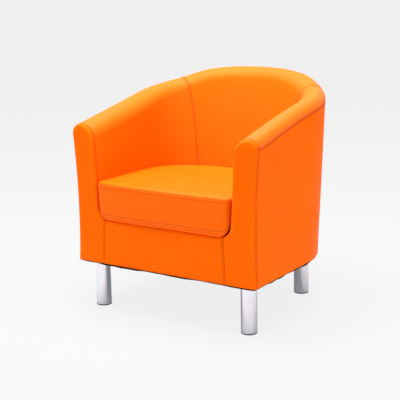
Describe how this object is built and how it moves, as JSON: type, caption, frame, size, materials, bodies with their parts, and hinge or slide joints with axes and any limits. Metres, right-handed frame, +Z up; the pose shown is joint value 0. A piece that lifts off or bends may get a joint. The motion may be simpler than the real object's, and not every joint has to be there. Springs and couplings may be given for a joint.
{
  "type": "tub chair",
  "caption": "Tub chair with a rounded back that runs into rolled arms, a loose boxed seat cushion and straight round legs.",
  "frame": {"origin": "on the floor under the middle of the chair's outer box", "axes": "+Z up, -Y towards the open front of the seat, +X to the right as seen from the front"},
  "size_m": [0.684, 0.656, 0.74],
  "materials": {
    "leathercloth": "bright orange coated cloth with a fine grain and a soft sheen",
    "foam": "cut polyurethane foam",
    "hardboard": "thin bent hardboard",
    "timber": "sawn plywood and softwood",
    "webbing": "woven elastic webbing",
    "felt": "needled felt",
    "black_cloth": "thin non-woven black cloth",
    "chrome": "polished chrome plate",
    "black_plastic": "moulded black plastic",
    "zinc_steel": "zinc plated steel"
  },
  "bodies": {
    "chair": {"arm_foam_left": "foam", "arm_foam_right": "foam", "arm_front_cover_left": "leathercloth", "arm_front_cover_right": "leathercloth", "arm_front_pad_left": "foam", "arm_front_pad_right": "foam", "arm_post_left": "timber", "arm_post_right": "timber", "back_foam": "foam", "back_post_left": "timber", "back_post_right": "timber", "base_ring": "timber", "border_pad": "foam", "corner_post_left": "timber", "corner_post_right": "timber", "deck_cover": "black_cloth", "deck_pad": "felt", "dust_cover": "black_cloth", "front_border_cover": "leathercloth", "front_post_left": "timber", "front_post_right": "timber", "front_rail": "timber", "glide_back_left": "black_plastic", "glide_back_right": "black_plastic", "glide_front_left": "black_plastic", "glide_front_right": "black_plastic", "inner_panel": "hardboard", "inside_arm_cover_left": "leathercloth", "inside_arm_cover_right": "leathercloth", "inside_back_cover": "leathercloth", "leg_back_left": "chrome", "leg_back_right": "chrome", "leg_block_back_left": "timber", "leg_block_back_right": "timber", "leg_block_front_left": "timber", "leg_block_front_right": "timber", "leg_front_left": "chrome", "leg_front_right": "chrome", "leg_studs": "zinc_steel", "outer_panel": "hardboard", "outside_cover": "leathercloth", "seat_frame": "timber", "tee_nuts": "zinc_steel", "top_rail": "timber", "webbing_front_to_back": "webbing", "webbing_side_to_side": "webbing"},
    "seat_cushion": {"cushion_foam": "foam", "cushion_cover": "leathercloth", "cushion_zip": "black_plastic"}
  },
  "joints": [
    {"name": "cushion_lift", "type": "slide", "parent": "chair", "child": "seat_cushion", "axis": [0, 0, 1], "range_m": [0, 0.45]}
  ]
}
